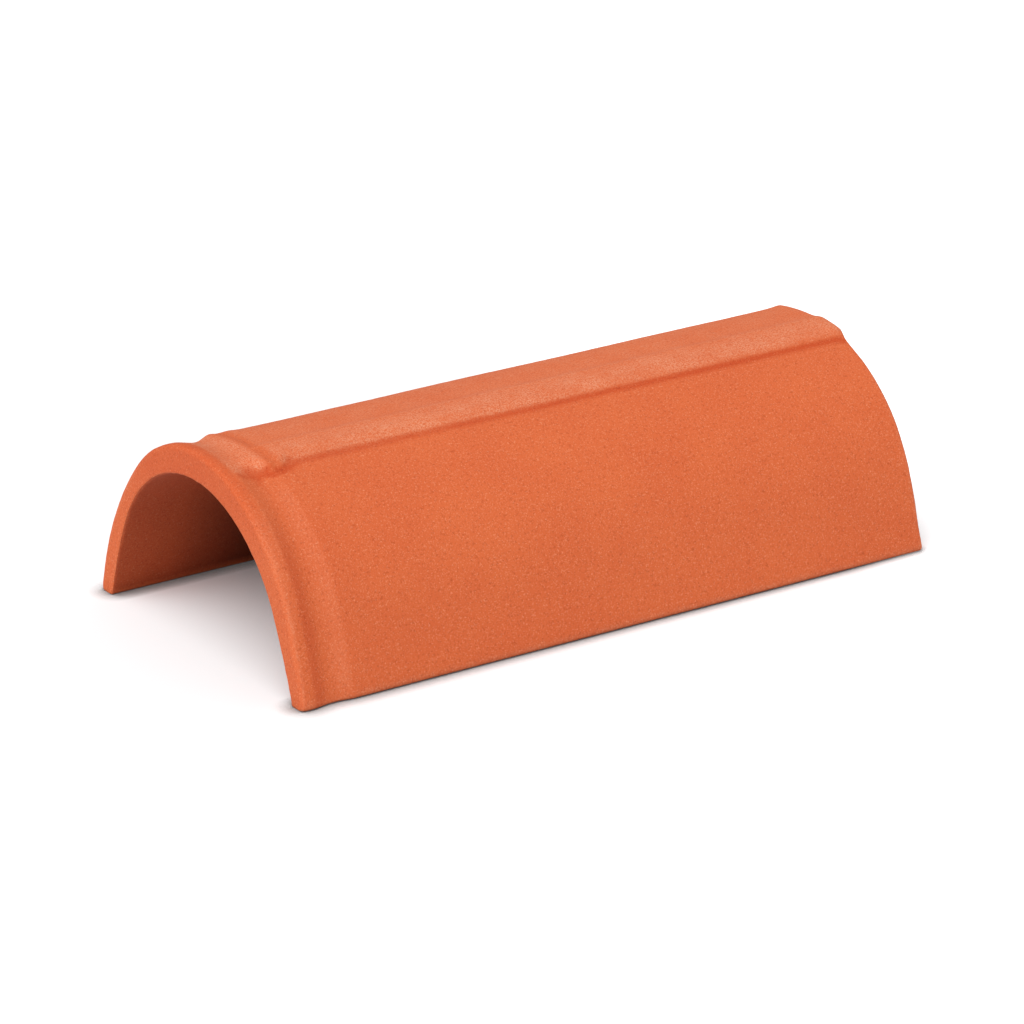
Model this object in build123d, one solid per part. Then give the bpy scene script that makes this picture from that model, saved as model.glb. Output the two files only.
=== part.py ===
from build123d import *
from math import asin, atan2, cos, degrees, radians, sin
import os

# Half-round clay ridge tile, pressed and fired as one piece of stock.
# X runs along the tile with the lapped front end at -X, Y runs across, Z is up from the floor.

# overall, in millimetres
LENGTH = 400.0
WIDTH = 211.0
BODY_HEIGHT = 108.6

# wall of the arch; each leg is a slack arc that leans this far in at the foot, in degrees
CROWN_WALL = 13.9
FOOT_WALL = 12.0
OUTER_LEAN = 12.6
INNER_LEAN = 16.5

# front lap, measured back from the front end: lip, soft drop into the channel, then a ramp up to the body
LIP_LENGTH = 8.0
DROP_LENGTH = 12.5
RAMP_LENGTH = 11.5
LAP_LEAN = 10.8
LIP_RISE = 2.8
LIP_FLARE = 0.5
CHANNEL_CROWN_DEPTH = 4.0
CHANNEL_FOOT_DEPTH = 1.8

# raised band along the crest; the strip of it on the -Y side stands prouder than the rest
BAND_HALF_WIDTH = 29.0
BAND_SIDE_RUN = 4.5
BAND_RISE = 0.5
BAND_EDGE_RISE = 2.2
STRIP_RISE = 1.7
STRIP_INNER = 4.0
STRIP_STEP = 5.0

# front of the band, measured back from the front end: a low bridge over the channel, a cross bead, a saddle
BEAD_FOOT_SETBACK = 17.5
BEAD_SETBACK = 28.5
BEAD_END_SETBACK = 36.0
BAND_RISE_LENGTH = 6.5
BEAD_RIGHT_RISE = 4.2
BEAD_CROWN_RISE = 1.5
BEAD_LEFT_RISE = 2.4
BEAD_ROOT_DEPTH = 1.8
BEAD_NARROWING = 6.0
BEAD_SWELL = 2.6

# radius of the leg arcs of the body, the open underside and the lap, as shares of the height of each
outer_leg_share = 3.683
inner_leg_share = 3.379
lap_leg_share = 1.508

# height of the bead over the bridge and where it ends, and of the band in the saddle, as shares of their rise
bridge_share = 0.5
bead_end_share = 0.45
saddle_share = 0.88

# rounded corners and worn edges
BAND_EDGE_ROUND = 4.0
STRIP_STEP_ROUND = 8.0
LIP_EDGE_ROUND = 3.0
FAR_EDGE_ROUND = 1.8
FOOT_OUTER_ROUND = 2.4
INNER_EDGE_ROUND = 1.0

# how far along each soft change of section the stations stand
station_shares = [0, 1 / 6, 1 / 3, 1 / 2, 2 / 3, 5 / 6, 1]

ALONG = (1, 0, 0)
FRONT = -LENGTH / 2
REAR = LENGTH / 2
TOUCH = LENGTH / 1e6

half_width = WIDTH / 2
lip_half_width = half_width + LIP_FLARE
lip_height = BODY_HEIGHT + LIP_RISE
channel_half_width = lip_half_width - CHANNEL_FOOT_DEPTH
channel_height = lip_height - CHANNEL_CROWN_DEPTH
inner_half_width = half_width - FOOT_WALL
inner_height = BODY_HEIGHT - CROWN_WALL
outer_leg_radius = BODY_HEIGHT * outer_leg_share
inner_leg_radius = inner_height * inner_leg_share
lap_leg_radius = lip_height * lap_leg_share

lip_end = FRONT + LIP_LENGTH
channel = lip_end + DROP_LENGTH
body_start = channel + RAMP_LENGTH
bead_foot = FRONT + BEAD_FOOT_SETBACK
bead_top = FRONT + BEAD_SETBACK
bead_end = FRONT + BEAD_END_SETBACK
band_start = body_start + BAND_RISE_LENGTH


def across(x, face):
    """Stand a section, drawn in Y and Z, at this place along the tile."""
    return Plane(origin=(x, 0, 0), x_dir=(0, 1, 0), z_dir=ALONG) * face


def between(first, last, share):
    """A value between two, with a soft start and a soft end."""
    return first + (last - first) * share * share * (3 - 2 * share)


def crown_radius(half_width, height, lean, leg_radius):
    """Radius of the crown arc that runs smoothly into leg arcs of this radius and lean."""
    reach = half_width - leg_radius * cos(radians(lean))
    climb = height + leg_radius * sin(radians(lean))
    return (reach**2 + climb**2 - leg_radius**2) / (2 * (climb - leg_radius))


def leg_points(height, half_width, lean, leg_radius):
    """Foot, middle and knee of a left leg arc, and the haunch of the crown arc it runs into."""
    foot = radians(lean)
    radius = crown_radius(half_width, height, lean, leg_radius)
    reach = half_width - leg_radius * cos(foot)
    knee = atan2(height - radius + leg_radius * sin(foot), -reach)
    haunch = (knee + radians(90)) / 2
    turns = [foot, (foot + knee) / 2, knee]
    leg = [(reach + leg_radius * cos(turn), leg_radius * (sin(turn) - sin(foot))) for turn in turns]
    return [*leg, (radius * cos(haunch), height - radius + radius * sin(haunch))]


def plain_crest(right, top, left):
    return [ThreePointArc(right[2], right[3], top), ThreePointArc(top, left[3], left[2])]


def arch_face(height, right_leg, left_leg, foot_round, crest=plain_crest):
    """Filled arch: two legs, each with its half width, lean and radius, crest edges between them,
    flat base on the floor."""
    left = leg_points(height, *left_leg)
    right = [(-y, z) for y, z in leg_points(height, *right_leg)]
    edges = crest(right, (0, height), left)
    base = Line(left[0], right[0])
    face = Face(Wire([ThreePointArc(*right[:3]), *edges, ThreePointArc(*left[2::-1]), base]))
    if foot_round == 0:
        return face
    feet = face.vertices().sort_by(Axis.Y)[:2]
    return face.fillet_2d(foot_round, feet)


body_radius = crown_radius(half_width, BODY_HEIGHT, OUTER_LEAN, outer_leg_radius)
body_centre = BODY_HEIGHT - body_radius


def body_top(y):
    return body_centre + (body_radius**2 - y**2) ** 0.5


# top of the band: a flatter arc than the body's, set by its rise at the crown and at its edges
band_crown = BODY_HEIGHT + BAND_RISE
band_fall = band_crown - body_top(BAND_HALF_WIDTH) - BAND_EDGE_RISE
band_radius = (BAND_HALF_WIDTH**2 + band_fall**2) / (2 * band_fall)
strip_outer = STRIP_INNER + STRIP_STEP


def on_body(y):
    return (y, body_top(y))


def crest_points(share):
    """Corners of the band from right to left, at this share of its full rise."""

    def on_band(y, lift):
        full = band_crown - band_radius + (band_radius**2 - y**2) ** 0.5 + lift
        return (y, body_top(y) + (full - body_top(y)) * share)

    root = BAND_HALF_WIDTH + BAND_SIDE_RUN
    return {
        "right_root": on_body(-root),
        "right_shoulder": on_band(-BAND_HALF_WIDTH, STRIP_RISE),
        "strip_middle": on_band(-(strip_outer + BAND_HALF_WIDTH) / 2, STRIP_RISE),
        "strip_edge": on_band(-strip_outer, STRIP_RISE),
        "flat_edge": on_band(-STRIP_INNER, 0),
        "flat_middle": on_band((BAND_HALF_WIDTH - STRIP_INNER) / 2, 0),
        "left_shoulder": on_band(BAND_HALF_WIDTH, 0),
        "left_root": on_body(root),
    }


def crest_edges(at):
    return [
        Line(at["right_root"], at["right_shoulder"]),
        ThreePointArc(at["right_shoulder"], at["strip_middle"], at["strip_edge"]),
        Line(at["strip_edge"], at["flat_edge"]),
        ThreePointArc(at["flat_edge"], at["flat_middle"], at["left_shoulder"]),
        Line(at["left_shoulder"], at["left_root"]),
    ]


def rounded(face, points, radius):
    """Round the corners of a section that lie at these points."""
    near = [v for v in face.vertices() for y, z in points if abs(v.X - y) + abs(v.Y - z) < TOUCH]
    return face.fillet_2d(radius, near)


def band_face(share):
    """Body section with the crest band at this share of its full rise."""
    at = crest_points(share)

    def crest(right, top, left):
        haunch = (left[2][0] + at["left_root"][0]) / 2
        right_haunch = ThreePointArc(right[2], on_body(-haunch), at["right_root"])
        left_haunch = ThreePointArc(at["left_root"], on_body(haunch), left[2])
        return [right_haunch, *crest_edges(at), left_haunch]

    leg = (half_width, OUTER_LEAN, outer_leg_radius)
    face = arch_face(BODY_HEIGHT, leg, leg, FOOT_OUTER_ROUND, crest)
    sides = [at[name] for name in ("right_root", "right_shoulder", "left_shoulder", "left_root")]
    face = rounded(face, sides, BAND_EDGE_ROUND)
    return rounded(face, [at["strip_edge"], at["flat_edge"]], STRIP_STEP_ROUND)


def saddle_face():
    """Crest band by itself at its height in the saddle, with its sides sunk into the wall."""
    at = crest_points(saddle_share)
    root, height = at["left_root"]
    sunk = height - CROWN_WALL / 2
    base = Polyline((root, height), (root, sunk), (-root, sunk), (-root, height))
    face = Face(Wire([*crest_edges(at), *base.edges()]))
    face = rounded(face, [at["right_shoulder"], at["left_shoulder"]], BAND_EDGE_ROUND)
    return rounded(face, [at["strip_edge"], at["flat_edge"]], STRIP_STEP_ROUND)


def bead_face(share, swell):
    """Cross bead by itself, rooted below the body: its share of its rise, and how much wider it is
    than the band."""
    shoulder = BAND_HALF_WIDTH + swell
    root = shoulder + BAND_SIDE_RUN

    def on_bead(y, rise):
        return (y, body_top(y) - BEAD_ROOT_DEPTH + (rise + BEAD_ROOT_DEPTH) * share)

    right_root, left_root = on_bead(-root, -BEAD_ROOT_DEPTH), on_bead(root, -BEAD_ROOT_DEPTH)
    right, left = on_bead(-shoulder, BEAD_RIGHT_RISE), on_bead(shoulder, BEAD_LEFT_RISE)
    sunk = left_root[1] - CROWN_WALL / 2
    top = ThreePointArc(right, on_bead(0, BEAD_CROWN_RISE), left)
    base = Polyline(left_root, (root, sunk), (-root, sunk), right_root)
    face = Face(Wire([Line(right_root, right), top, Line(left, left_root), *base.edges()]))
    return rounded(face, [right, left], BAND_EDGE_ROUND)


def lip_face(inset):
    """Lip section drawn in evenly all round. Its right leg runs along the body's, and its left leg
    is drawn in more."""

    def drawn_in(lean, leg_radius):
        smaller = leg_radius - inset
        foot = asin(leg_radius * sin(radians(lean)) / smaller)
        reach = lip_half_width - leg_radius * cos(radians(lean))
        return (reach + smaller * cos(foot), degrees(foot), smaller)

    right_leg = drawn_in(OUTER_LEAN, outer_leg_radius)
    left_leg = drawn_in(LAP_LEAN, lap_leg_radius)
    return arch_face(lip_height - inset, right_leg, left_leg, FOOT_OUTER_ROUND)


def drop_face(share):
    """Arch between the lip and the bottom of the channel; the drop levels out as it goes down."""
    fallen = 1 - (1 - share) ** 2 * (1 + share)
    width = lip_half_width - CHANNEL_FOOT_DEPTH * fallen
    right_leg = (width, OUTER_LEAN, outer_leg_radius)
    left_leg = (width, LAP_LEAN, lap_leg_radius)
    return arch_face(lip_height - CHANNEL_CROWN_DEPTH * fallen, right_leg, left_leg, FOOT_OUTER_ROUND)


def ramp_face(share):
    """Arch between the channel and the body; the ramp steepens up to a plain corner at the body."""

    def steepening(first, last):
        return first + (last - first) * share**1.5

    width = steepening(channel_half_width, half_width)
    curve = steepening(1 / lap_leg_radius, 1 / outer_leg_radius)
    right_leg = (width, OUTER_LEAN, outer_leg_radius)
    left_leg = (width, steepening(LAP_LEAN, OUTER_LEAN), 1 / curve)
    return arch_face(steepening(channel_height, BODY_HEIGHT), right_leg, left_leg, FOOT_OUTER_ROUND)


def nose_station(share):
    """Quarter round at the front edge of the lip."""
    turn = radians(90 * share)
    return across(FRONT + LIP_EDGE_ROUND * (1 - cos(turn)), lip_face(LIP_EDGE_ROUND * (1 - sin(turn))))


def bead_front_station(share):
    """Cross bead climbing from the bridge, steep at first."""
    climb = sin(radians(90 * share))
    swell = between(-BEAD_NARROWING, BEAD_SWELL, climb)
    height = between(bridge_share, 1, climb)
    return across(bead_foot + (bead_top - bead_foot) * share, bead_face(height, swell))


def bead_back_station(share):
    """Cross bead falling behind its top, down into the band."""
    height = between(1, bead_end_share, share)
    swell = between(BEAD_SWELL, 0, share)
    return across(bead_top + (bead_end - bead_top) * share, bead_face(height, swell))


def rise_station(share):
    """Body with the crest band rising out of the saddle."""
    return across(body_start + BAND_RISE_LENGTH * share, band_face(between(saddle_share, 1, share)))


def edges_at(solid, x):
    """Edges that lie in the cross plane at x, off the floor."""
    boxes = [(edge, edge.bounding_box()) for edge in solid.edges()]
    flat = [(e, b) for e, b in boxes if abs(b.min.X - x) < TOUCH and abs(b.max.X - x) < TOUCH]
    return ShapeList([e for e, b in flat if b.max.Z > TOUCH])


# front lap
nose = loft([nose_station(share) for share in station_shares])
lip = extrude(across(FRONT + LIP_EDGE_ROUND, lip_face(0)), LIP_LENGTH - LIP_EDGE_ROUND, dir=ALONG)
drop = loft([across(lip_end + DROP_LENGTH * share, drop_face(share)) for share in station_shares])
ramp = loft([across(channel + RAMP_LENGTH * share, ramp_face(share)) for share in station_shares])

# body with its crest band
rise = loft([rise_station(share) for share in station_shares])
run = extrude(across(band_start, band_face(1)), REAR - band_start, dir=ALONG)
run = fillet(edges_at(run, REAR), FAR_EDGE_ROUND)

# cross bead at the front of the band, between a low bridge to the lip and the saddle
bridge = extrude(across(lip_end, bead_face(bridge_share, -BEAD_NARROWING)), bead_foot - lip_end, dir=ALONG)
saddle = extrude(across(bead_top, saddle_face()), body_start - bead_top, dir=ALONG)
bead_front = loft([bead_front_station(share) for share in station_shares])
bead_back = loft([bead_back_station(share) for share in station_shares])

# the open underside is one even arch from end to end
inner_leg = (inner_half_width, INNER_LEAN, inner_leg_radius)
hollow_face = arch_face(inner_height, inner_leg, inner_leg, 0)
hollow = extrude(across(FRONT, hollow_face), LENGTH, dir=ALONG)
arch = nose + lip + drop + ramp + rise + run
tile = arch + bridge + bead_front + bead_back + saddle - hollow

# worn inner edges at both ends and along both feet
rims = edges_at(hollow, FRONT) + edges_at(hollow, REAR)
rims += [edge for edge in hollow.edges().filter_by(Axis.X) if edge.center().Z < TOUCH]
spots = [rim.center() for rim in rims]
inner_edges = [e for e in tile.edges() if min((e.center() - spot).length for spot in spots) < TOUCH]
tile = fillet(inner_edges, INNER_EDGE_ROUND)

os.makedirs("parts", exist_ok=True)
export_step(tile, "parts/ridge_tile.step")
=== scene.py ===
import math
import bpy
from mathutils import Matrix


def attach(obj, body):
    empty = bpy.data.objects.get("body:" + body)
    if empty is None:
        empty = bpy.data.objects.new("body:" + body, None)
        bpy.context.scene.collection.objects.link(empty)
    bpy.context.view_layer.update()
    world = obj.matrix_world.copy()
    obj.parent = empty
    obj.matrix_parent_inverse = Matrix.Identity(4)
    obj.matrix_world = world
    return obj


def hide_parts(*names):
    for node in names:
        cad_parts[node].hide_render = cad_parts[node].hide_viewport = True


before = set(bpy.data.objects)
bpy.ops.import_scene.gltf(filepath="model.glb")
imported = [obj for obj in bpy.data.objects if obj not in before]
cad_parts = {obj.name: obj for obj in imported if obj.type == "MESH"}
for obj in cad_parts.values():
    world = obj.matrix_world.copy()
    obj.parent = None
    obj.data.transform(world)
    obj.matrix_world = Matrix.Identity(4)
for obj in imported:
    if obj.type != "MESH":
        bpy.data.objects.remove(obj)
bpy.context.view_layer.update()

from types import SimpleNamespace

import bpy
from mathutils import Matrix, Vector

MM = 0.001


def add(tree, kind, inputs=None, **settings):
    """Adds a node with its settings. Each input is a plain value or another node's output socket."""
    node = tree.nodes.new(kind)
    for name, value in settings.items():
        setattr(node, name, value)
    for key, value in (inputs or {}).items():
        if isinstance(value, bpy.types.NodeSocket):
            tree.links.new(value, node.inputs[key])
        else:
            node.inputs[key].default_value = value
    return node


def colour(hex_value):
    """Linear colour of an sRGB hex value."""
    parts = [int(hex_value[i:i + 2], 16) / 255 for i in (1, 3, 5)]
    return [c / 12.92 if c <= 0.04045 else ((c + 0.055) / 1.055) ** 2.4 for c in parts] + [1.0]


# Fired clay

CLOUD_SIZE = 45 * MM
GRIT_SIZE = 1.3 * MM
SAND_SIZE = 0.8 * MM
DUST_SIZE = 0.9 * MM
PATCH_SIZE = 18 * MM
PORE_SIZE = 1.3 * MM
PORE_DEPTH = 0.35 * MM
# distances from the middle of the tile: the painted shade on the underside is least beyond the first and
# most within the second
UNDERSIDE_SHADE_LEAST = 165 * MM
UNDERSIDE_SHADE_MOST = 95 * MM


def fired_clay():
    """Terracotta, pressed in a mould and fired without glaze: matt, a warm orange body with fine pale and
    dark grit, soft cloudy patches from the kiln, and pale dusty wear where it stands proud, with painted
    light on the lap's rising slope and edges and painted shade in the creases and under the arch."""
    material = bpy.data.materials.new("terracotta_pressed_unglazed")
    material.use_nodes = True
    tree = material.node_tree
    tree.nodes.clear()
    place = add(tree, "ShaderNodeTexCoord").outputs["Object"]
    worn = add(tree, "ShaderNodeAttribute", attribute_name="worn").outputs["Fac"]
    rubbed = add(tree, "ShaderNodeAttribute", attribute_name="rubbed").outputs["Fac"]
    crease = add(tree, "ShaderNodeAttribute", attribute_name="crease").outputs["Fac"]
    side = add(tree, "ShaderNodeAttribute", attribute_name="side").outputs["Fac"]

    # clouds from the kiln
    cloud = add(tree, "ShaderNodeTexNoise", {"Vector": place, "Scale": 1 / CLOUD_SIZE, "Detail": 3.0})
    cloud_share = add(tree, "ShaderNodeMapRange", {"Value": cloud.outputs[0], "From Min": 0.35,
                                                   "From Max": 0.68})
    body = add(tree, "ShaderNodeMix", {0: cloud_share.outputs[0], 6: colour("#D26235"), 7: colour("#D66738")},
               data_type="RGBA")

    # dark grit and pale sand, drawn as coarse as the picture shows them
    grit = add(tree, "ShaderNodeTexNoise", {"Vector": place, "Scale": 1 / GRIT_SIZE, "Detail": 2.0,
                                            "Roughness": 0.6})
    dark_share = add(tree, "ShaderNodeMapRange", {"Value": grit.outputs[0], "From Min": 0.47,
                                                  "From Max": 0.28, "To Max": 0.55})
    gritty = add(tree, "ShaderNodeMix", {0: dark_share.outputs[0], 6: body.outputs[2], 7: colour("#AC401C")},
                 data_type="RGBA")
    sand = add(tree, "ShaderNodeTexNoise", {"Vector": place, "Scale": 1 / SAND_SIZE, "Detail": 2.0})
    pale_share = add(tree, "ShaderNodeMapRange", {"Value": sand.outputs[0], "From Min": 0.54,
                                                  "From Max": 0.78, "To Max": 0.78})
    sandy = add(tree, "ShaderNodeMix", {0: pale_share.outputs[0], 6: gritty.outputs[2], 7: colour("#E8946C")},
                data_type="RGBA")

    # wear and painted light: pale grains, thick where dust is rubbed in and where light is painted on the
    # lap's rising slope, thin along the worn edges
    grain = add(tree, "ShaderNodeTexNoise", {"Vector": place, "Scale": 1 / DUST_SIZE, "Detail": 3.0,
                                             "Roughness": 0.7})
    grain_share = add(tree, "ShaderNodeMapRange", {"Value": grain.outputs[0], "From Min": 0.4,
                                                   "From Max": 0.64})
    patch = add(tree, "ShaderNodeTexNoise", {"Vector": place, "Scale": 1 / PATCH_SIZE, "Detail": 2.0})
    patch_share = add(tree, "ShaderNodeMapRange", {"Value": patch.outputs[0], "From Min": 0.3,
                                                   "From Max": 0.65, "To Min": 0.45})
    edge_wear = add(tree, "ShaderNodeMath", {0: worn, 1: 0.4}, operation="MULTIPLY")
    wear_place = add(tree, "ShaderNodeMath", {0: rubbed, 1: edge_wear.outputs[0]}, operation="MAXIMUM")
    wear_patch = add(tree, "ShaderNodeMath", {0: wear_place.outputs[0], 1: patch_share.outputs[0]},
                     operation="MULTIPLY")
    wear = add(tree, "ShaderNodeMath", {0: wear_patch.outputs[0], 1: grain_share.outputs[0]},
               operation="MULTIPLY")
    dusty = add(tree, "ShaderNodeMix", {0: wear.outputs[0], 6: sandy.outputs[2], 7: colour("#E49672")},
                data_type="RGBA")

    # creases are multiplied with a deeper colour, partly as painted shade, and the underside is browner, with
    # painted shade darkest in its middle
    creased = add(tree, "ShaderNodeMix", {0: crease, 6: dusty.outputs[2], 7: colour("#EECBB3")},
                  data_type="RGBA", blend_type="MULTIPLY")
    # painted shade: the underside is multiplied browner, and darker towards the middle of the tile, where the
    # arch shades it
    along = add(tree, "ShaderNodeSeparateXYZ", {0: place}).outputs[0]
    from_middle = add(tree, "ShaderNodeMath", {0: along}, operation="ABSOLUTE")
    depth = add(tree, "ShaderNodeMapRange", {"Value": from_middle.outputs[0], "From Min": UNDERSIDE_SHADE_LEAST,
                                             "From Max": UNDERSIDE_SHADE_MOST})
    underside_shade_tone = add(tree, "ShaderNodeMix", {0: depth.outputs[0], 6: colour("#CDB8AC"), 7: colour("#57463F")},
                data_type="RGBA")
    underside_share = add(tree, "ShaderNodeMapRange", {"Value": side, "From Min": 0.6, "From Max": 1.0})
    shaded_body = add(tree, "ShaderNodeMix", {0: underside_share.outputs[0], 6: creased.outputs[2],
                                              7: underside_shade_tone.outputs[2]},
                      data_type="RGBA", blend_type="MULTIPLY")

    pore = add(tree, "ShaderNodeTexNoise", {"Vector": place, "Scale": 1 / PORE_SIZE, "Detail": 3.0})
    relief = add(tree, "ShaderNodeBump", {"Height": pore.outputs[0], "Strength": 0.35,
                                          "Distance": PORE_DEPTH})
    shader = add(tree, "ShaderNodeBsdfPrincipled", {"Base Color": shaded_body.outputs[2],
                                                    "Normal": relief.outputs[0], "Roughness": 0.85,
                                                    "IOR": 1.5, "Specular IOR Level": 0.3})
    add(tree, "ShaderNodeOutputMaterial", {"Surface": shader.outputs[0]})
    return material


# The sleeve of rays that is laid on the solid

LENGTH = 400 * MM
# middle of the wall, halfway between the outer and the inner arch
MIDDLE_HALF_WIDTH = 99.4 * MM
MIDDLE_HEIGHT = 101.6 * MM
MIDDLE_LEAN = math.radians(14.5)
MIDDLE_LEG_RADIUS = 360 * MM
# how far the sleeve stays inside the feet and the ends
FOOT_CLEARANCE = 5 * MM
END_CLEARANCE = 5.5 * MM
HALF_ARCH_POINTS = 104
# close steps over the lap, wider ones along the body
LAP_STEP = 1.2 * MM
LAP_STATIONS = 34
BODY_STATIONS = 145
# rays in degrees that fan out round a foot, from out through down to in, and round an end, from the side to
# straight out; closest at the corners
FOOT_FAN = (-5, -18, -27, -33, -38, -43, -50, -62, -76, -90,
            -104, -118, -130, -137, -142, -147, -153, -162)
END_FAN = (14, 23, 29, 33, 36, 39, 42, 46, 52, 60, 74, 90)
# rays that tip further than this meet an end face
END_CORNER = math.radians(41)


def wall_middle():
    """Points on the middle of the wall from the right foot over the crown to the left foot, with the angle
    that looks straight out of the wall at each."""
    reach = MIDDLE_HALF_WIDTH - MIDDLE_LEG_RADIUS * math.cos(MIDDLE_LEAN)
    climb = MIDDLE_HEIGHT + MIDDLE_LEG_RADIUS * math.sin(MIDDLE_LEAN)
    crown_radius = (reach**2 + climb**2 - MIDDLE_LEG_RADIUS**2) / (2 * (climb - MIDDLE_LEG_RADIUS))
    knee = math.atan2(climb - crown_radius, -reach)
    foot = math.asin(math.sin(MIDDLE_LEAN) + FOOT_CLEARANCE / MIDDLE_LEG_RADIUS)
    leg_length = MIDDLE_LEG_RADIUS * (knee - foot)
    half_length = leg_length + crown_radius * (math.pi / 2 - knee)
    half = []
    for i in range(HALF_ARCH_POINTS):
        run = half_length * i / (HALF_ARCH_POINTS - 1)
        if run < leg_length:
            turn = foot + run / MIDDLE_LEG_RADIUS
            y = reach + MIDDLE_LEG_RADIUS * math.cos(turn)
            z = MIDDLE_LEG_RADIUS * (math.sin(turn) - math.sin(MIDDLE_LEAN))
        else:
            turn = knee + (run - leg_length) / crown_radius
            y = crown_radius * math.cos(turn)
            z = MIDDLE_HEIGHT - crown_radius + crown_radius * math.sin(turn)
        half.append((y, z, turn))
    right = [(-y, z, math.pi - turn) for y, z, turn in half]
    return right + half[-2::-1]


def sleeve():
    """A closed sleeve of points inside the wall. Each carries its aim, the way to the surface that it will be
    laid on, and its side: 1 looks down into the arch, 0 looks out."""
    middle = wall_middle()
    fan = [math.radians(d) for d in FOOT_FAN]
    ring = [(y, z, turn, 0.0) for y, z, turn in middle]
    y, z, turn = middle[-1]
    ring += [(y, z, angle, i / len(fan)) for i, angle in enumerate(fan)]
    ring += [(y, z, turn + math.pi, 1.0) for y, z, turn in reversed(middle)]
    y, z, turn = middle[0]
    ring += [(y, z, math.pi - angle, i / len(fan)) for i, angle in reversed(list(enumerate(fan)))]
    swing = [math.radians(d) for d in END_FAN]
    front, rear = -LENGTH / 2 + END_CLEARANCE, LENGTH / 2 - END_CLEARANCE
    lap = [front + LAP_STEP * i for i in range(LAP_STATIONS)]
    body = [lap[-1] + (rear - lap[-1]) * i / BODY_STATIONS for i in range(1, BODY_STATIONS + 1)]
    stations = [(front, -angle) for angle in reversed(swing)] + [(x, 0.0) for x in lap + body]
    stations += [(rear, angle) for angle in swing]
    points, aims, sides = [], [], []
    for x, tip in stations:
        for y, z, turn, side in ring:
            points.append((x, y, z))
            aims += [math.sin(tip), math.cos(tip) * math.cos(turn), math.cos(tip) * math.sin(turn)]
            sides.append(side if abs(tip) < END_CORNER else 0.0)
    count = len(ring)
    faces = []
    for start in range(0, (len(stations) - 1) * count, count):
        for j in range(count):
            beside = (j + 1) % count
            faces.append((start + j, start + count + j, start + count + beside, start + beside))
    mesh = bpy.data.meshes.new("clay_sleeve")
    mesh.from_pydata(points, [], faces)
    mesh.attributes.new("aim", "FLOAT_VECTOR", "POINT").data.foreach_set("vector", aims)
    mesh.attributes.new("side", "FLOAT", "POINT").data.foreach_set("value", sides)
    return mesh


# The clay skin

RAY_LENGTH = 60 * MM
SEAM = 0.02 * MM
# crown arc of the body, on the outside
CROWN_RADIUS = 99.2 * MM
CROWN_CENTRE = 9.4 * MM
# neighbours that a blur takes in: to tell a plain run from an edge, a proud point, and a crease
RUN_RINGS = 12
EDGE_RINGS = 10
CREASE_RINGS = 5
# how far a normal differs from those around it, on an edge and on a plain run
EDGE_TURN, PLAIN_TURN = 0.16, 0.06
# how far an edge stands proud of its surroundings and a crease lies below them, where it starts to count
# and where it counts in full
EDGE_START, EDGE_FULL = 0.16 * MM, 0.4 * MM
CREASE_START, CREASE_FULL = 0.02 * MM, 0.1 * MM

# Spans of the tile in millimetres, each given by start, full, still full and end of its fade. Along runs
# from the front end to the rear, across from the right foot over the crown to the left one, and zero is the
# middle of the tile.
SLIDE_ALONG = (-194, -186, 200, 201)
SLIDE_ACROSS = (-50, -38, -25, -12)
SADDLE_ALONG = (-174, -169, -164, -158)
STEP_ACROSS = (-13, -11, -2, 0)
RUN_OVER_ALONG = (-194, -190, -180, -173)
RUN_OVER_ACROSS = (-30, -20, 24, 34)
BAND_SIDE_FROM_CROWN = (20, 26, 38, 44)
LIP_BACK_ALONG = (-194, -190.5, -188, -182)
BEAD_FOOT_ALONG = (-194, -189, -174, -168)
BEAD_FOOT_ACROSS = (-34, -32, -30, -28)
LIP_ALONG = (-201, -200, -195, -191)
BEAD_ALONG = (-194, -191, -175, -171)
BAND_ALONG = (-166, -162, 200, 201)
CREST_ACROSS = (-31, -28, 29, 33)
CORNER_ALONG = (-181, -174, -169, -168)
STRIP_EDGE_ALONG = (-164, -158, 200, 201)
STRIP_EDGE_ACROSS = (-10.5, -9.5, -9, -7.5)
LIP_EDGE_ALONG = (-199.6, -198.6, -197.8, -196.8)
CHANNEL_ALONG = (-192, -184, -177, -168.5)

# places where something starts and where it is full
PAST_LAP = (-160 * MM, -145 * MM)
FRONT_RIM = (-196 * MM, -198 * MM)
LEG_FROM_CROWN = (34 * MM, 46 * MM)
LOW_LEG_FROM_CROWN = (48 * MM, 86 * MM)
STRIP_TO_RIGHT = (-9 * MM, -17 * MM)
LIP_CROWN_HEIGHT = (70 * MM, 90 * MM)
WORN_HEIGHT = (100 * MM, 88 * MM)
CREST_HEIGHT = (95 * MM, 98 * MM)
OFF_FLOOR = (0.2 * MM, 3 * MM)

# how strong a thing is at its fullest
SADDLE_SLIDE = 0.3
RUN_OVER_FAIRING = 0.4
BEAD_FOOT_SHADE = 0.75
LIP_BACK_SHADE_AND_TONE = 0.5
LIP_CROWN_CREASE = 0.4
BEAD_DUST = 0.9
PLATEAU_DUST = 0.5
CORNER_DUST_AND_LIGHT = 0.28
STRIP_EDGE_WEAR_AND_HIGHLIGHT = 0.9
LIP_EDGE_WEAR_AND_HIGHLIGHT = 0.5


def window(tree, value, span):
    """1 within a span, fading to 0 outside it."""
    start, full, still_full, end = span
    rise = add(tree, "ShaderNodeMapRange", {"Value": value, "From Min": start * MM, "From Max": full * MM})
    fall = add(tree, "ShaderNodeMapRange", {"Value": value, "From Min": end * MM,
                                            "From Max": still_full * MM})
    return times(tree, rise.outputs[0], fall.outputs[0])


def times(tree, *shares):
    """Product of several shares."""
    product = shares[0]
    for share in shares[1:]:
        product = add(tree, "ShaderNodeMath", {0: product, 1: share}, operation="MULTIPLY").outputs[0]
    return product


def most(tree, *shares):
    """The largest of several shares."""
    largest = shares[0]
    for share in shares[1:]:
        largest = add(tree, "ShaderNodeMath", {0: largest, 1: share}, operation="MAXIMUM").outputs[0]
    return largest


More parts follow.
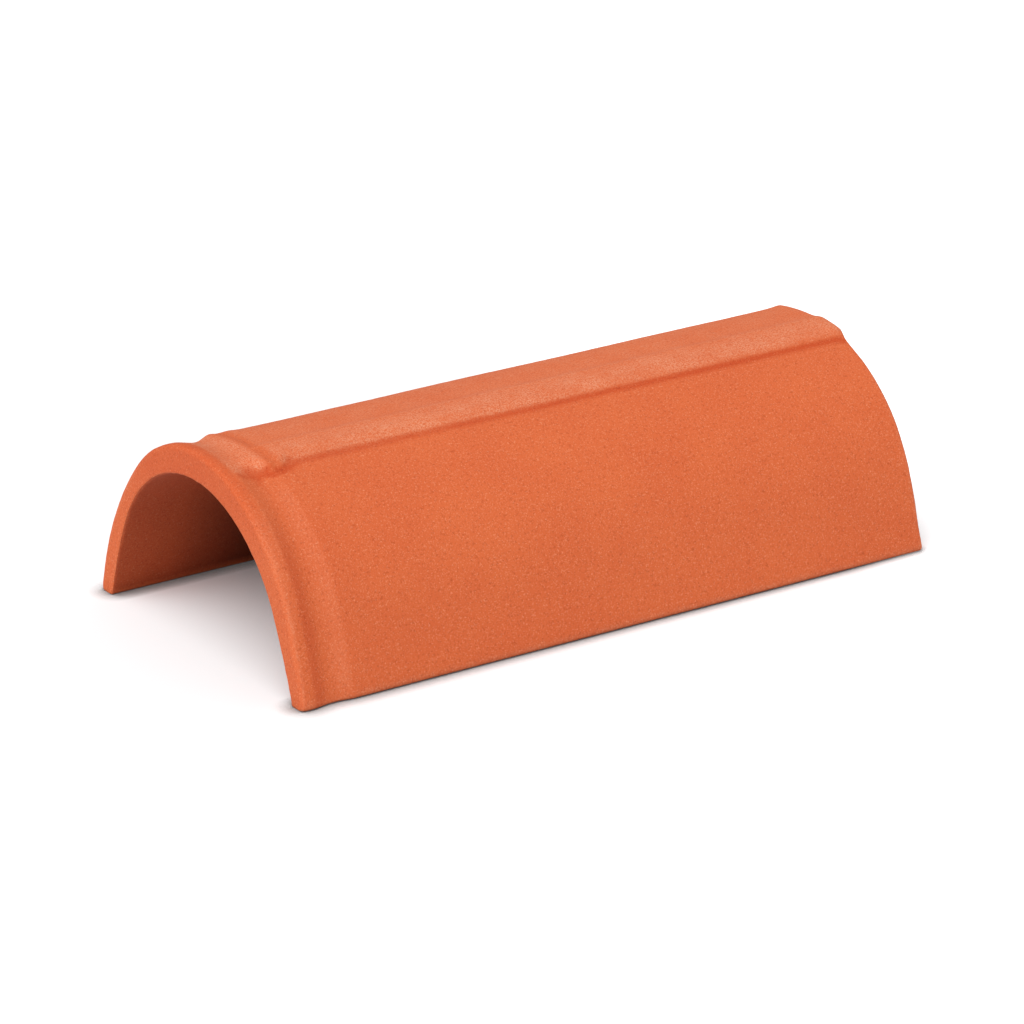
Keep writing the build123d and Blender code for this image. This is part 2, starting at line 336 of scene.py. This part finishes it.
def point_fields(tree):
    """What the nodes read of each point: its place, its normal, and whether it looks into the arch or out."""
    place = add(tree, "GeometryNodeInputPosition").outputs[0]
    normal = add(tree, "GeometryNodeInputNormal").outputs[0]
    x, y, z = add(tree, "ShaderNodeSeparateXYZ", {0: place}).outputs
    from_crown = add(tree, "ShaderNodeMath", {0: y}, operation="ABSOLUTE").outputs[0]
    inner = add(tree, "GeometryNodeInputNamedAttribute", {"Name": "side"}, data_type="FLOAT").outputs[0]
    outer = add(tree, "ShaderNodeMath", {0: 1.0, 1: inner}, operation="SUBTRACT").outputs[0]
    low_leg = add(tree, "ShaderNodeMapRange", {"Value": from_crown, "From Min": LOW_LEG_FROM_CROWN[0],
                                               "From Max": LOW_LEG_FROM_CROWN[1]}).outputs[0]
    return SimpleNamespace(place=place, normal=normal, x=x, y=y, z=z, from_crown=from_crown, inner=inner,
                           outer=outer, low_leg=low_leg)


def lay_on_solid(tree, given, at):
    """Lays the sleeve on the solid and closes its two ends. The right edge of the band runs nearer to the
    crown than on the solid, most at the front. The crown is an arc, so turning about its centre slides the
    edge along it."""
    solid = add(tree, "GeometryNodeObjectInfo", {"Object": given["Solid"]})
    aim = add(tree, "GeometryNodeInputNamedAttribute", {"Name": "aim"}, data_type="FLOAT_VECTOR")
    hit = add(tree, "GeometryNodeRaycast", {"Target Geometry": solid.outputs["Geometry"],
                                            "Source Position": at.place, "Ray Direction": aim.outputs[0],
                                            "Ray Length": RAY_LENGTH})
    edge_zone = times(tree, window(tree, at.y, SLIDE_ACROSS), window(tree, at.x, SLIDE_ALONG), at.outer)
    slide = add(tree, "ShaderNodeMapRange", {"Value": at.x, "From Min": -LENGTH / 2, "From Max": LENGTH / 2,
                                             "To Min": given["Edge Shift Front"],
                                             "To Max": given["Edge Shift Rear"]})
    # the saddle behind the bead stays about as wide as on the solid
    off_saddle = add(tree, "ShaderNodeMapRange", {"Value": window(tree, at.x, SADDLE_ALONG), "To Min": 1.0,
                                                  "To Max": SADDLE_SLIDE})
    turn = times(tree, slide.outputs[0], edge_zone, off_saddle.outputs[0], -1 / CROWN_RADIUS)
    slid = add(tree, "ShaderNodeVectorRotate", {"Vector": hit.outputs["Hit Position"], "Angle": turn,
                                                "Center": (0, 0, CROWN_CENTRE)}, rotation_type="X_AXIS")
    laid = add(tree, "GeometryNodeSetPosition", {"Geometry": given["Geometry"], "Position": slid.outputs[0]})
    closed = add(tree, "GeometryNodeMergeByDistance", {"Geometry": laid.outputs[0], "Distance": SEAM})
    return closed.outputs[0]


def fair(tree, given, at, geometry):
    """Fairs the plain runs of the body, and keeps its edges, where the surface turns within a few
    millimetres, and the step beside the strip. Of the lap only the crown is faired, where the lip runs over
    into the bead. All of it is softened a little."""
    even = add(tree, "GeometryNodeBlurAttribute", {"Value": at.normal, "Iterations": RUN_RINGS},
               data_type="FLOAT_VECTOR")
    turned = add(tree, "ShaderNodeVectorMath", {0: at.normal, 1: even.outputs[0]}, operation="DISTANCE")
    even_run = add(tree, "ShaderNodeMapRange", {"Value": turned.outputs["Value"], "From Min": EDGE_TURN,
                                                "From Max": PLAIN_TURN})
    past_lap = add(tree, "ShaderNodeMapRange", {"Value": at.x, "From Min": PAST_LAP[0],
                                                "From Max": PAST_LAP[1]})
    at_step = times(tree, window(tree, at.y, STEP_ACROSS), at.outer)
    off_step = add(tree, "ShaderNodeMath", {0: 1.0, 1: at_step}, operation="SUBTRACT")
    plain_run = times(tree, even_run.outputs[0], past_lap.outputs[0], off_step.outputs[0])
    run_over = times(tree, window(tree, at.x, RUN_OVER_ALONG), window(tree, at.y, RUN_OVER_ACROSS), at.outer,
                     RUN_OVER_FAIRING)
    kept = add(tree, "GeometryNodeStoreNamedAttribute", {"Geometry": geometry, "Name": "plain",
                                                         "Value": most(tree, plain_run, run_over)},
               data_type="FLOAT", domain="POINT")
    plain = add(tree, "GeometryNodeInputNamedAttribute", {"Name": "plain"}, data_type="FLOAT")
    even_place = add(tree, "GeometryNodeBlurAttribute", {"Value": at.place, "Iterations": given["Fairing"],
                                                         "Weight": plain.outputs[0]},
                     data_type="FLOAT_VECTOR")
    faired = add(tree, "GeometryNodeSetPosition", {"Geometry": kept.outputs[0],
                                                   "Position": even_place.outputs[0]})
    soft_place = add(tree, "GeometryNodeBlurAttribute", {"Value": at.place, "Iterations": given["Softening"]},
                     data_type="FLOAT_VECTOR")
    softened = add(tree, "GeometryNodeSetPosition", {"Geometry": faired.outputs[0],
                                                     "Position": soft_place.outputs[0]})
    return softened.outputs[0]


def worn_edges(tree, at):
    """Front and foot edges that stand proud are worn pale on the legs. The crown edge of the lip is not."""
    around = add(tree, "GeometryNodeBlurAttribute", {"Value": at.place, "Iterations": EDGE_RINGS},
                 data_type="FLOAT_VECTOR")
    away = add(tree, "ShaderNodeVectorMath", {0: at.place, 1: around.outputs[0]}, operation="SUBTRACT")
    proud = add(tree, "ShaderNodeVectorMath", {0: away.outputs[0], 1: at.normal}, operation="DOT_PRODUCT")
    edge = add(tree, "ShaderNodeMapRange", {"Value": proud.outputs["Value"], "From Min": EDGE_START,
                                            "From Max": EDGE_FULL})
    below_crown = add(tree, "ShaderNodeMapRange", {"Value": at.z, "From Min": WORN_HEIGHT[0],
                                                   "From Max": WORN_HEIGHT[1]})
    return times(tree, edge.outputs[0], below_crown.outputs[0])


def crease_shade_and_colour(tree, at):
    """Painted shade, deepening the colour, lies in the creases along both sides of the band, under the bead's
    right end and behind the lip on the legs. The lip over the crown keeps a deep colour, where nothing rubs
    it."""
    around = add(tree, "GeometryNodeBlurAttribute", {"Value": at.place, "Iterations": CREASE_RINGS},
                 data_type="FLOAT_VECTOR")
    sunk = add(tree, "ShaderNodeVectorMath", {0: around.outputs[0], 1: at.place}, operation="SUBTRACT")
    below = add(tree, "ShaderNodeVectorMath", {0: sunk.outputs[0], 1: at.normal}, operation="DOT_PRODUCT")
    hollow = add(tree, "ShaderNodeMapRange", {"Value": below.outputs["Value"], "From Min": CREASE_START,
                                              "From Max": CREASE_FULL})
    band_side = times(tree, hollow.outputs[0], window(tree, at.from_crown, BAND_SIDE_FROM_CROWN))
    # painted shade: a dark line drawn under the bead's right end, where its foot is shaded
    bead_foot = times(tree, window(tree, at.x, BEAD_FOOT_ALONG), window(tree, at.y, BEAD_FOOT_ACROSS),
                      BEAD_FOOT_SHADE)
    # partly painted shade: the fall behind the lip on the legs, which faces away from the lamp
    behind_lip = times(tree, window(tree, at.x, LIP_BACK_ALONG), at.low_leg, at.outer, LIP_BACK_SHADE_AND_TONE)
    high = add(tree, "ShaderNodeMapRange", {"Value": at.z, "From Min": LIP_CROWN_HEIGHT[0],
                                            "From Max": LIP_CROWN_HEIGHT[1]})
    lip_crown = times(tree, window(tree, at.x, LIP_ALONG), high.outputs[0], at.outer, LIP_CROWN_CREASE)
    return most(tree, band_side, bead_foot, behind_lip, lip_crown)


def dust_wear_and_painted_light(tree, at):
    """Dust is rubbed into the crest: from the lip over the bead, and along the band, most on its strip. A
    thin pale layer on the legs, up to the corner where the body starts, is partly dust and partly painted
    light on the slope that rises to the body; thin pale lines on the inner edge of the strip and the front
    edge of the legs are partly worn edges and partly painted highlight."""
    crest = add(tree, "ShaderNodeMapRange", {"Value": at.z, "From Min": CREST_HEIGHT[0],
                                             "From Max": CREST_HEIGHT[1]}).outputs[0]
    on_crest = window(tree, at.y, CREST_ACROSS)
    bead = times(tree, window(tree, at.x, BEAD_ALONG), on_crest, crest, BEAD_DUST)
    strip = add(tree, "ShaderNodeMapRange", {"Value": at.y, "From Min": STRIP_TO_RIGHT[0],
                                             "From Max": STRIP_TO_RIGHT[1], "To Min": PLATEAU_DUST})
    band = times(tree, window(tree, at.x, BAND_ALONG), on_crest, strip.outputs[0], crest)
    on_leg = add(tree, "ShaderNodeMapRange", {"Value": at.from_crown, "From Min": LEG_FROM_CROWN[0],
                                              "From Max": LEG_FROM_CROWN[1]})
    # partly painted light: pale on the slope that rises to the body, which faces the lamp
    corner = times(tree, window(tree, at.x, CORNER_ALONG), on_leg.outputs[0], at.outer, CORNER_DUST_AND_LIGHT)
    # partly painted highlight, partly wear: thin pale lines on the strip's inner edge and on the legs' front
    # edge
    strip_edge = times(tree, window(tree, at.x, STRIP_EDGE_ALONG), window(tree, at.y, STRIP_EDGE_ACROSS),
                       crest, STRIP_EDGE_WEAR_AND_HIGHLIGHT)
    lip_edge = times(tree, window(tree, at.x, LIP_EDGE_ALONG), at.low_leg, at.outer, LIP_EDGE_WEAR_AND_HIGHLIGHT)
    return most(tree, bead, band, corner, strip_edge, lip_edge)


def depth(tree, given, at, name, detail, draw):
    """Depth into the clay, from zero to the named depth, in patches of the named size. Each draw of the seed
    gives other patches."""
    per_metre = add(tree, "ShaderNodeMath", {0: 1.0, 1: given[name + " Size"]}, operation="DIVIDE")
    moved = add(tree, "ShaderNodeMath", {0: given["Seed"], 1: draw}, operation="ADD")
    noise = add(tree, "ShaderNodeTexNoise", {"Vector": at.place, "W": moved.outputs[0],
                                             "Scale": per_metre.outputs[0], "Detail": detail},
                noise_dimensions="4D")
    share = add(tree, "ShaderNodeMapRange", {"Value": noise.outputs[0], "From Min": 0.3, "From Max": 0.7})
    return times(tree, share.outputs[0], given[name + " Depth"])


def press(tree, given, at, geometry):
    """Presses the relief into the clay: a slow waviness and grit all over, chips along the inner edge at the
    front, and the channel of the lap a little deeper on the legs. The feet stay on the floor."""
    wave = depth(tree, given, at, "Wave", 1.0, 0.0)
    grit = depth(tree, given, at, "Grit", 2.0, 7.0)
    chip = depth(tree, given, at, "Chip", 2.0, 13.0)
    front = add(tree, "ShaderNodeMapRange", {"Value": at.x, "From Min": FRONT_RIM[0],
                                             "From Max": FRONT_RIM[1]})
    worn = add(tree, "GeometryNodeInputNamedAttribute", {"Name": "worn"}, data_type="FLOAT")
    inner_edge = times(tree, at.inner, worn.outputs[0])
    chipped = times(tree, front.outputs[0], inner_edge, chip)
    channel = times(tree, window(tree, at.x, CHANNEL_ALONG), at.low_leg, at.outer, given["Channel Depth"])
    relief = add(tree, "ShaderNodeMath", {0: wave, 1: grit}, operation="ADD")
    marks = add(tree, "ShaderNodeMath", {0: chipped, 1: channel}, operation="ADD")
    inward = add(tree, "ShaderNodeMath", {0: relief.outputs[0], 1: marks.outputs[0]}, operation="ADD")
    lifted = add(tree, "ShaderNodeMapRange", {"Value": at.z, "From Min": OFF_FLOOR[0],
                                              "From Max": OFF_FLOOR[1]})
    outward = times(tree, inward.outputs[0], lifted.outputs[0], -1.0)
    offset = add(tree, "ShaderNodeVectorMath", {0: at.normal, "Scale": outward}, operation="SCALE")
    pressed = add(tree, "GeometryNodeSetPosition", {"Geometry": geometry, "Offset": offset.outputs[0]})
    return pressed.outputs[0]


def clay_skin():
    """Nodes that lay the sleeve on the solid and make it pressed clay, with the marks that the material
    reads:
    wear and dust with some painted light, and creases with painted shade."""
    tree = bpy.data.node_groups.new("clay_skin", "GeometryNodeTree")
    face = tree.interface
    face.new_socket("Geometry", in_out="INPUT", socket_type="NodeSocketGeometry")
    face.new_socket("Solid", in_out="INPUT", socket_type="NodeSocketObject")
    for name in ("Softening", "Fairing"):
        face.new_socket(name, in_out="INPUT", socket_type="NodeSocketInt")
    for name in ("Wave Size", "Wave Depth", "Grit Size", "Grit Depth", "Chip Size", "Chip Depth",
                 "Channel Depth", "Edge Shift Front", "Edge Shift Rear", "Seed"):
        face.new_socket(name, in_out="INPUT", socket_type="NodeSocketFloat")
    face.new_socket("Clay", in_out="INPUT", socket_type="NodeSocketMaterial")
    face.new_socket("Geometry", in_out="OUTPUT", socket_type="NodeSocketGeometry")
    given = add(tree, "NodeGroupInput").outputs
    at = point_fields(tree)
    skin = fair(tree, given, at, lay_on_solid(tree, given, at))
    marks = {"worn": worn_edges(tree, at), "crease": crease_shade_and_colour(tree, at), "rubbed": dust_wear_and_painted_light(tree, at)}
    for name, value in marks.items():
        skin = add(tree, "GeometryNodeStoreNamedAttribute", {"Geometry": skin, "Name": name, "Value": value},
                   data_type="FLOAT", domain="POINT").outputs[0]
    smooth = add(tree, "GeometryNodeSetShadeSmooth", {"Geometry": press(tree, given, at, skin)})
    real = add(tree, "GeometryNodeRealizeInstances", {"Geometry": smooth.outputs[0]})
    coated = add(tree, "GeometryNodeSetMaterial", {"Geometry": real.outputs[0], "Material": given["Clay"]})
    add(tree, "NodeGroupOutput", {"Geometry": coated.outputs[0]})
    return tree


def pressed_tile(clay):
    """The whole tile as one closed mesh, laid on the CAD solid."""
    raw = bpy.data.objects.new("clay_sleeve", sleeve())
    bpy.context.scene.collection.objects.link(raw)
    skin = raw.modifiers.new("clay_skin", "NODES")
    skin.node_group = clay_skin()
    values = {"Solid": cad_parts["ridge_tile"], "Softening": 1, "Fairing": 40,
              "Wave Size": 55 * MM, "Wave Depth": 0.25 * MM, "Grit Size": 5 * MM, "Grit Depth": 0.12 * MM,
              "Chip Size": 3 * MM, "Chip Depth": 1.0 * MM, "Channel Depth": 0.6 * MM,
              "Edge Shift Front": 5.5 * MM, "Edge Shift Rear": 1.0 * MM, "Seed": 3.0, "Clay": clay}
    for socket in skin.node_group.interface.items_tree:
        if socket.in_out == "INPUT" and socket.name in values:
            skin[socket.identifier] = values[socket.name]
    graph = bpy.context.evaluated_depsgraph_get()
    mesh = bpy.data.meshes.new_from_object(raw.evaluated_get(graph), preserve_all_data_layers=True,
                                           depsgraph=graph)
    mesh.name = "clay_ridge_tile"
    bpy.data.objects.remove(raw)
    tile = bpy.data.objects.new("clay_ridge_tile", mesh)
    bpy.context.scene.collection.objects.link(tile)
    return tile


tile = pressed_tile(fired_clay())
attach(tile, "root")
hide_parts("ridge_tile")


# Floor, light and camera

FLOOR_REACH = 6.0
# how far from a foot the painted contact shadow reaches, at the front end of the tile and at the rear one
CONTACT_FRONT = 11 * MM
CONTACT_REAR = 6 * MM
# how much white the camera sees on top of the lit floor, near the tile and past its far end
NEAR_WHITE = 0.045
FAR_WHITE = 0.4
FAR_WHITE_START = 150 * MM
FAR_WHITE_FULL = 240 * MM
ROOM_STRENGTH = 0.42
LAMP_STRENGTH = 2.58
LAMP_SPREAD = math.radians(60)
LAMP_TOWARDS = Vector((0.48, 0.23, -0.85))


def studio_floor():
    """A seamless white floor that keeps the tile's soft shadow."""
    mesh = bpy.data.meshes.new("studio_floor")
    corners = [(x * FLOOR_REACH, y * FLOOR_REACH, 0) for x, y in ((-1, -1), (1, -1), (1, 1), (-1, 1))]
    mesh.from_pydata(corners, [], [(0, 1, 2, 3)])
    floor = bpy.data.objects.new("studio_floor", mesh)
    bpy.context.scene.collection.objects.link(floor)
    material = bpy.data.materials.new("white_paper_floor")
    material.use_nodes = True
    tree = material.node_tree
    tree.nodes.clear()
    place = add(tree, "ShaderNodeTexCoord").outputs["Object"]
    along = add(tree, "ShaderNodeSeparateXYZ", {0: place}).outputs[0]
    # painted contact shadow: the paper's colour is darkened by ambient occlusion close to the feet, in a
    # wider line at the front
    line = add(tree, "ShaderNodeMapRange", {"Value": along, "From Min": -LENGTH / 2, "From Max": LENGTH / 2,
                                            "To Min": CONTACT_FRONT, "To Max": CONTACT_REAR})
    near = add(tree, "ShaderNodeAmbientOcclusion", {"Distance": line.outputs[0]}, samples=2).outputs["AO"]
    shade = add(tree, "ShaderNodeMapRange", {"Value": near, "From Min": 0.5, "From Max": 0.82})
    contact_shadow_tone = add(tree, "ShaderNodeMix", {0: shade.outputs[0], 6: colour("#6E6A68"), 7: colour("#F8F8F9")},
               data_type="RGBA")
    paper = add(tree, "ShaderNodeBsdfDiffuse", {"Color": contact_shadow_tone.outputs[2]})
    # the picture shows it white past the far end of the tile
    # painted light: past the far end of the tile the camera sees the floor lifted further towards white, over
    # the tile's shadow there
    white = add(tree, "ShaderNodeMapRange", {"Value": along, "From Min": FAR_WHITE_START,
                                             "From Max": FAR_WHITE_FULL, "To Min": NEAR_WHITE,
                                             "To Max": FAR_WHITE})
    seen = add(tree, "ShaderNodeLightPath").outputs["Is Camera Ray"]
    glow = add(tree, "ShaderNodeMath", {0: seen, 1: white.outputs[0]}, operation="MULTIPLY")
    lift = add(tree, "ShaderNodeEmission", {"Color": colour("#FFFFFF"), "Strength": glow.outputs[0]})
    lit = add(tree, "ShaderNodeAddShader", {0: paper.outputs[0], 1: lift.outputs[0]})
    add(tree, "ShaderNodeOutputMaterial", {"Surface": lit.outputs[0]})
    mesh.materials.append(material)


def studio_light():
    """A white room and one broad soft lamp above the near side."""
    world = bpy.data.worlds.new("white_room")
    world.use_nodes = True
    tree = world.node_tree
    tree.nodes.clear()
    room = add(tree, "ShaderNodeBackground", {"Color": colour("#FFFFFF"), "Strength": ROOM_STRENGTH})
    add(tree, "ShaderNodeOutputWorld", {"Surface": room.outputs[0]})
    bpy.context.scene.world = world
    lamp = bpy.data.lights.new("broad_lamp", "SUN")
    lamp.energy = LAMP_STRENGTH
    lamp.angle = LAMP_SPREAD
    holder = bpy.data.objects.new("broad_lamp", lamp)
    holder.rotation_euler = LAMP_TOWARDS.to_track_quat("-Z", "Y").to_euler()
    bpy.context.scene.collection.objects.link(holder)


def photo_camera():
    """Camera at the photograph's angle: far off with a long lens, looking down on the tile a little. The
    tile's origin lies at the target pixel of the picture."""
    azimuth, elevation, roll = math.radians(-33.24), math.radians(20.94), math.radians(-0.57)
    distance, lens, sensor, side = 2932 * MM, 188.7, 36.0, 1024
    target_u, target_v = 515.2, 569.8
    back = Vector((math.sin(azimuth) * math.cos(elevation), -math.cos(azimuth) * math.cos(elevation),
                   math.sin(elevation)))
    level = (-back).cross(Vector((0, 0, 1))).normalized()
    rise = level.cross(-back)
    right = math.cos(roll) * level + math.sin(roll) * rise
    up = math.cos(roll) * rise - math.sin(roll) * level
    per_pixel = distance * sensor / lens / side
    shift_u, shift_v = (target_u - side / 2) * per_pixel, (target_v - side / 2) * per_pixel
    place = back * distance - right * shift_u + up * shift_v
    camera = bpy.data.cameras.new("photo_camera")
    camera.lens = lens
    camera.sensor_width = sensor
    camera.sensor_fit = "HORIZONTAL"
    camera.clip_end = 50.0
    holder = bpy.data.objects.new("photo_camera", camera)
    turn = Matrix((right, up, back)).transposed().to_4x4()
    holder.matrix_world = Matrix.Translation(place) @ turn
    bpy.context.scene.collection.objects.link(holder)
    bpy.context.scene.camera = holder


studio_floor()
studio_light()
photo_camera()
bpy.context.scene.view_settings.view_transform = "Standard"
